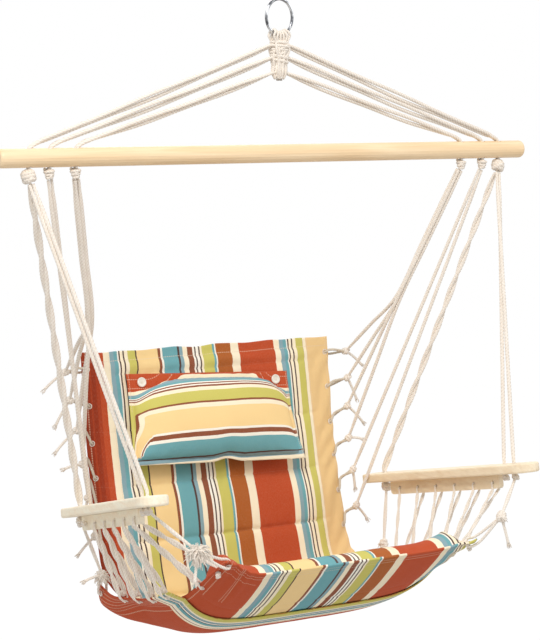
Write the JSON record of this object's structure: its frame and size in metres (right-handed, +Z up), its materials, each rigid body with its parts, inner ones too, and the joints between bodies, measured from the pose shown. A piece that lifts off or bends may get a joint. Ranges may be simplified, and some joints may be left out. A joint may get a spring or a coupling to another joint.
{
  "type": "hanging hammock chair",
  "caption": "Hanging chair: fabric sling seat and back on cotton cords below a wooden spreader bar, with laced wooden armrests, a head pillow and a steel hanging ring.",
  "frame": {"origin": "inside top of the hanging ring, where a hook bears", "axes": "+Z up, +X along the spreader bar toward the sitter's left hand, the sitter faces -Y"},
  "size_m": [1, 0.5104, 1.0459],
  "materials": {
    "steel": "polished",
    "rope": "twisted cotton",
    "wood": "clear satin",
    "sling_fabric": "woven stripes",
    "band_fabric": "woven stripes",
    "pillow_fabric": "woven stripes",
    "buttons": "gloss"
  },
  "bodies": {
    "ring": {"hanging_ring": "steel"},
    "yoke": {"rope_head": "rope", "spreader_bar": "wood", "left_inner_upper_cords": "rope", "left_inner_bar_knot": "rope", "left_middle_upper_cords": "rope", "left_middle_bar_knot": "rope", "left_outer_upper_cords": "rope", "left_outer_bar_knot": "rope", "right_inner_upper_cords": "rope", "right_inner_bar_knot": "rope", "right_middle_upper_cords": "rope", "right_middle_bar_knot": "rope", "right_outer_upper_cords": "rope", "right_outer_bar_knot": "rope"},
    "chair": {"left_back_cord_1": "rope", "left_back_cord_2": "rope", "left_back_cord_3": "rope", "left_back_cord_4": "rope", "left_back_cord_5": "rope", "left_back_cord_6": "rope", "left_front_arm_cord": "rope", "left_front_corner_cord": "rope", "left_rear_corner_cords": "rope", "left_lacing": "rope", "left_armrest_board": "wood", "left_lacing_rail": "wood", "right_back_cord_1": "rope", "right_back_cord_2": "rope", "right_back_cord_3": "rope", "right_back_cord_4": "rope", "right_back_cord_5": "rope", "right_back_cord_6": "rope", "right_front_arm_cord": "rope", "right_front_corner_cord": "rope", "right_rear_corner_cords": "rope", "right_lacing": "rope", "right_armrest_board": "wood", "right_lacing_rail": "wood", "fabric_sling": "sling_fabric", "seat_band": "band_fabric"},
    "pillow": {"left_pillow_button": "buttons", "right_pillow_button": "buttons", "head_pillow": "pillow_fabric"}
  },
  "joints": [
    {"name": "ring_swing", "type": "hinge", "parent": "ring", "child": "yoke", "pos_m": [0, 0, -0.054], "axis": [0.9781, 0.2079, 0], "range_deg": [-20, 20]},
    {"name": "seat_swing", "type": "hinge", "parent": "yoke", "child": "chair", "pos_m": [0, 0, -0.2764], "axis": [1, 0, 0], "range_deg": [-20, 20]},
    {"name": "pillow_flip", "type": "hinge", "parent": "chair", "child": "pillow", "pos_m": [-0.014, 0.21436, -0.63424], "axis": [-0.9986, 0.0113, 0.0511], "range_deg": [0, 110]}
  ]
}
